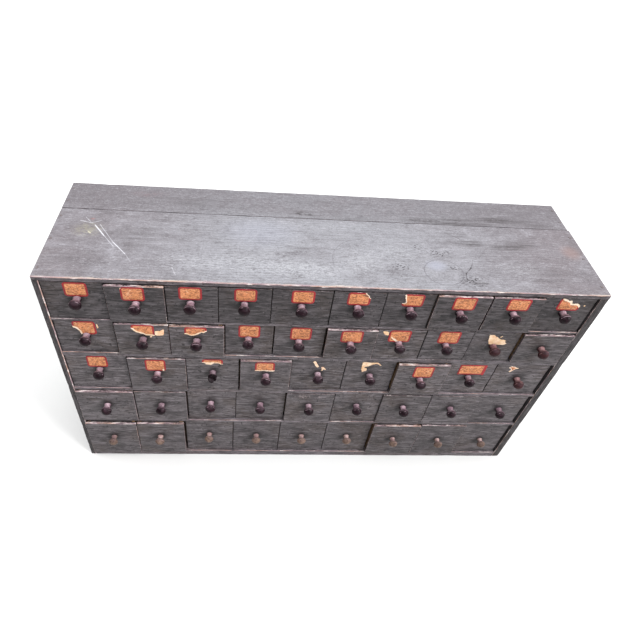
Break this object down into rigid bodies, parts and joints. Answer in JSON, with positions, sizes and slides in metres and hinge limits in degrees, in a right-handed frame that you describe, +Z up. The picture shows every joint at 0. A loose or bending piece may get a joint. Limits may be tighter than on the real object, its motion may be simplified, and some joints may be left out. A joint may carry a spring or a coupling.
{
  "type": "parts cabinet",
  "caption": "Low, wide wooden case with rows of small sliding drawers, each with a turned round knob, under a flat plank top.",
  "frame": {"origin": "middle of the case's flat underside", "axes": "+X to the right seen from the front, +Y towards the back, +Z up; the drawer fronts face -Y"},
  "size_m": [1.2216, 0.3603, 0.7208],
  "materials": {
    "case_paint": "worn dark paint",
    "drawer_paint": "worn dark grey-green paint",
    "bare_wood": "bare aged wood",
    "nail_steel": "rusted wire nails",
    "knob_paint": "turned wood, old dark finish, rubbed pale on the neck",
    "label_paper": "dull orange paper label with a red rule, torn"
  },
  "bodies": {
    "case": {"left_side_panel": "case_paint", "right_side_panel": "case_paint", "top_front_board": "case_paint", "top_rear_board": "case_paint", "bottom_board": "case_paint", "shelf_1": "case_paint", "shelf_2": "case_paint", "shelf_3": "case_paint", "shelf_4": "case_paint", "back_boards": "bare_wood", "upper_row_dividers": "bare_wood", "lower_row_dividers": "bare_wood", "case_nails": "nail_steel"},
    "drawer_r1_c01": {"drawer_r1_c01": "drawer_paint"},
    "drawer_r1_c02": {"drawer_r1_c02": "drawer_paint"},
    "drawer_r1_c03": {"drawer_r1_c03": "drawer_paint"},
    "drawer_r1_c04": {"drawer_r1_c04": "drawer_paint"},
    "drawer_r1_c05": {"drawer_r1_c05": "drawer_paint"},
    "drawer_r1_c06": {"drawer_r1_c06": "drawer_paint"},
    "drawer_r1_c07": {"drawer_r1_c07": "drawer_paint"},
    "drawer_r1_c08": {"drawer_r1_c08": "drawer_paint"},
    "drawer_r1_c09": {"drawer_r1_c09": "drawer_paint"},
    "drawer_r1_c10": {"drawer_r1_c10": "drawer_paint"},
    "drawer_r2_c01": {"drawer_r2_c01": "drawer_paint"},
    "drawer_r2_c02": {"drawer_r2_c02": "drawer_paint"},
    "drawer_r2_c03": {"drawer_r2_c03": "drawer_paint"},
    "drawer_r2_c04": {"drawer_r2_c04": "drawer_paint"},
    "drawer_r2_c05": {"drawer_r2_c05": "drawer_paint"},
    "drawer_r2_c06": {"drawer_r2_c06": "drawer_paint"},
    "drawer_r2_c07": {"drawer_r2_c07": "drawer_paint"},
    "drawer_r2_c08": {"drawer_r2_c08": "drawer_paint"},
    "drawer_r2_c09": {"drawer_r2_c09": "drawer_paint"},
    "drawer_r2_c10": {"drawer_r2_c10": "drawer_paint"},
    "drawer_r3_c01": {"drawer_r3_c01": "drawer_paint"},
    "drawer_r3_c02": {"drawer_r3_c02": "drawer_paint"},
    "drawer_r3_c03": {"drawer_r3_c03": "drawer_paint"},
    "drawer_r3_c04": {"drawer_r3_c04": "drawer_paint"},
    "drawer_r3_c05": {"drawer_r3_c05": "drawer_paint"},
    "drawer_r3_c06": {"drawer_r3_c06": "drawer_paint"},
    "drawer_r3_c07": {"drawer_r3_c07": "drawer_paint"},
    "drawer_r3_c08": {"drawer_r3_c08": "drawer_paint"},
    "drawer_r3_c09": {"drawer_r3_c09": "drawer_paint"},
    "drawer_r4_c01": {"drawer_r4_c01": "drawer_paint"},
    "drawer_r4_c02": {"drawer_r4_c02": "drawer_paint"},
    "drawer_r4_c03": {"drawer_r4_c03": "drawer_paint"},
    "drawer_r4_c04": {"drawer_r4_c04": "drawer_paint"},
    "drawer_r4_c05": {"drawer_r4_c05": "drawer_paint"},
    "drawer_r4_c06": {"drawer_r4_c06": "drawer_paint"},
    "drawer_r4_c07": {"drawer_r4_c07": "drawer_paint"},
    "drawer_r4_c08": {"drawer_r4_c08": "drawer_paint"},
    "drawer_r4_c09": {"drawer_r4_c09": "drawer_paint"},
    "drawer_r5_c01": {"drawer_r5_c01": "drawer_paint"},
    "drawer_r5_c02": {"drawer_r5_c02": "drawer_paint"},
    "drawer_r5_c03": {"drawer_r5_c03": "drawer_paint"},
    "drawer_r5_c04": {"drawer_r5_c04": "drawer_paint"},
    "drawer_r5_c05": {"drawer_r5_c05": "drawer_paint"},
    "drawer_r5_c06": {"drawer_r5_c06": "drawer_paint"},
    "drawer_r5_c07": {"drawer_r5_c07": "drawer_paint"},
    "drawer_r5_c08": {"drawer_r5_c08": "drawer_paint"},
    "drawer_r5_c09": {"drawer_r5_c09": "drawer_paint"}
  },
  "joints": [
    {"name": "drawer_r1_c01_slide", "type": "slide", "parent": "case", "child": "drawer_r1_c01", "axis": [0, -1, 0], "range_m": [-0.0055, 0.235]},
    {"name": "drawer_r1_c02_slide", "type": "slide", "parent": "case", "child": "drawer_r1_c02", "axis": [0, -1, 0], "range_m": [-0.013, 0.235]},
    {"name": "drawer_r1_c03_slide", "type": "slide", "parent": "case", "child": "drawer_r1_c03", "axis": [0, -1, 0], "range_m": [-0.0085, 0.235]},
    {"name": "drawer_r1_c04_slide", "type": "slide", "parent": "case", "child": "drawer_r1_c04", "axis": [0, -1, 0], "range_m": [-0.0085, 0.235]},
    {"name": "drawer_r1_c05_slide", "type": "slide", "parent": "case", "child": "drawer_r1_c05", "axis": [0, -1, 0], "range_m": [-0.008, 0.235]},
    {"name": "drawer_r1_c06_slide", "type": "slide", "parent": "case", "child": "drawer_r1_c06", "axis": [0, -1, 0], "range_m": [-0.008, 0.235]},
    {"name": "drawer_r1_c07_slide", "type": "slide", "parent": "case", "child": "drawer_r1_c07", "axis": [0, -1, 0], "range_m": [-0.008, 0.235]},
    {"name": "drawer_r1_c08_slide", "type": "slide", "parent": "case", "child": "drawer_r1_c08", "axis": [0, -1, 0], "range_m": [-0.012, 0.235]},
    {"name": "drawer_r1_c09_slide", "type": "slide", "parent": "case", "child": "drawer_r1_c09", "axis": [0, -1, 0], "range_m": [-0.0115, 0.235]},
    {"name": "drawer_r1_c10_slide", "type": "slide", "parent": "case", "child": "drawer_r1_c10", "axis": [0, -1, 0], "range_m": [-0.0045, 0.235]},
    {"name": "drawer_r2_c01_slide", "type": "slide", "parent": "case", "child": "drawer_r2_c01", "axis": [0, -1, 0], "range_m": [-0.004, 0.235]},
    {"name": "drawer_r2_c02_slide", "type": "slide", "parent": "case", "child": "drawer_r2_c02", "axis": [0, -1, 0], "range_m": [-0.0115, 0.235]},
    {"name": "drawer_r2_c03_slide", "type": "slide", "parent": "case", "child": "drawer_r2_c03", "axis": [0, -1, 0], "range_m": [-0.014, 0.235]},
    {"name": "drawer_r2_c04_slide", "type": "slide", "parent": "case", "child": "drawer_r2_c04", "axis": [0, -1, 0], "range_m": [-0.003, 0.235]},
    {"name": "drawer_r2_c05_slide", "type": "slide", "parent": "case", "child": "drawer_r2_c05", "axis": [0, -1, 0], "range_m": [-0.004, 0.235]},
    {"name": "drawer_r2_c06_slide", "type": "slide", "parent": "case", "child": "drawer_r2_c06", "axis": [0, -1, 0], "range_m": [-0.0125, 0.235]},
    {"name": "drawer_r2_c07_slide", "type": "slide", "parent": "case", "child": "drawer_r2_c07", "axis": [0, -1, 0], "range_m": [-0.0075, 0.235]},
    {"name": "drawer_r2_c08_slide", "type": "slide", "parent": "case", "child": "drawer_r2_c08", "axis": [0, -1, 0], "range_m": [-0.0065, 0.235]},
    {"name": "drawer_r2_c09_slide", "type": "slide", "parent": "case", "child": "drawer_r2_c09", "axis": [0, -1, 0], "range_m": [-0.0065, 0.235]},
    {"name": "drawer_r2_c10_slide", "type": "slide", "parent": "case", "child": "drawer_r2_c10", "axis": [0, -1, 0], "range_m": [-0.0125, 0.235]},
    {"name": "drawer_r3_c01_slide", "type": "slide", "parent": "case", "child": "drawer_r3_c01", "axis": [0, -1, 0], "range_m": [-0.004, 0.235]},
    {"name": "drawer_r3_c02_slide", "type": "slide", "parent": "case", "child": "drawer_r3_c02", "axis": [0, -1, 0], "range_m": [-0.011, 0.235]},
    {"name": "drawer_r3_c03_slide", "type": "slide", "parent": "case", "child": "drawer_r3_c03", "axis": [0, -1, 0], "range_m": [-0.0085, 0.235]},
    {"name": "drawer_r3_c04_slide", "type": "slide", "parent": "case", "child": "drawer_r3_c04", "axis": [0, -1, 0], "range_m": [-0.012, 0.235]},
    {"name": "drawer_r3_c05_slide", "type": "slide", "parent": "case", "child": "drawer_r3_c05", "axis": [0, -1, 0], "range_m": [-0.003, 0.235]},
    {"name": "drawer_r3_c06_slide", "type": "slide", "parent": "case", "child": "drawer_r3_c06", "axis": [0, -1, 0], "range_m": [-0.003, 0.235]},
    {"name": "drawer_r3_c07_slide", "type": "slide", "parent": "case", "child": "drawer_r3_c07", "axis": [0, -1, 0], "range_m": [-0.014, 0.235]},
    {"name": "drawer_r3_c08_slide", "type": "slide", "parent": "case", "child": "drawer_r3_c08", "axis": [0, -1, 0], "range_m": [-0.003, 0.235]},
    {"name": "drawer_r3_c09_slide", "type": "slide", "parent": "case", "child": "drawer_r3_c09", "axis": [0, -1, 0], "range_m": [-0.003, 0.235]},
    {"name": "drawer_r4_c01_slide", "type": "slide", "parent": "case", "child": "drawer_r4_c01", "axis": [0, -1, 0], "range_m": [-0.013, 0.235]},
    {"name": "drawer_r4_c02_slide", "type": "slide", "parent": "case", "child": "drawer_r4_c02", "axis": [0, -1, 0], "range_m": [-0.01, 0.235]},
    {"name": "drawer_r4_c03_slide", "type": "slide", "parent": "case", "child": "drawer_r4_c03", "axis": [0, -1, 0], "range_m": [-0.0015, 0.235]},
    {"name": "drawer_r4_c04_slide", "type": "slide", "parent": "case", "child": "drawer_r4_c04", "axis": [0, -1, 0], "range_m": [-0.002, 0.235]},
    {"name": "drawer_r4_c05_slide", "type": "slide", "parent": "case", "child": "drawer_r4_c05", "axis": [0, -1, 0], "range_m": [-0.009, 0.235]},
    {"name": "drawer_r4_c06_slide", "type": "slide", "parent": "case", "child": "drawer_r4_c06", "axis": [0, -1, 0], "range_m": [-0.005, 0.235]},
    {"name": "drawer_r4_c07_slide", "type": "slide", "parent": "case", "child": "drawer_r4_c07", "axis": [0, -1, 0], "range_m": [-0.0095, 0.235]},
    {"name": "drawer_r4_c08_slide", "type": "slide", "parent": "case", "child": "drawer_r4_c08", "axis": [0, -1, 0], "range_m": [-0.009, 0.235]},
    {"name": "drawer_r4_c09_slide", "type": "slide", "parent": "case", "child": "drawer_r4_c09", "axis": [0, -1, 0], "range_m": [-0.0035, 0.235]},
    {"name": "drawer_r5_c01_slide", "type": "slide", "parent": "case", "child": "drawer_r5_c01", "axis": [0, -1, 0], "range_m": [-0.016, 0.235]},
    {"name": "drawer_r5_c02_slide", "type": "slide", "parent": "case", "child": "drawer_r5_c02", "axis": [0, -1, 0], "range_m": [-0.0145, 0.235]},
    {"name": "drawer_r5_c03_slide", "type": "slide", "parent": "case", "child": "drawer_r5_c03", "axis": [0, -1, 0], "range_m": [-0.002, 0.235]},
    {"name": "drawer_r5_c04_slide", "type": "slide", "parent": "case", "child": "drawer_r5_c04", "axis": [0, -1, 0], "range_m": [-0.002, 0.235]},
    {"name": "drawer_r5_c05_slide", "type": "slide", "parent": "case", "child": "drawer_r5_c05", "axis": [0, -1, 0], "range_m": [-0.002, 0.235]},
    {"name": "drawer_r5_c06_slide", "type": "slide", "parent": "case", "child": "drawer_r5_c06", "axis": [0, -1, 0], "range_m": [-0.003, 0.235]},
    {"name": "drawer_r5_c07_slide", "type": "slide", "parent": "case", "child": "drawer_r5_c07", "axis": [0, -1, 0], "range_m": [-0.014, 0.235]},
    {"name": "drawer_r5_c08_slide", "type": "slide", "parent": "case", "child": "drawer_r5_c08", "axis": [0, -1, 0], "range_m": [-0.011, 0.235]},
    {"name": "drawer_r5_c09_slide", "type": "slide", "parent": "case", "child": "drawer_r5_c09", "axis": [0, -1, 0], "range_m": [-0.003, 0.235]}
  ]
}
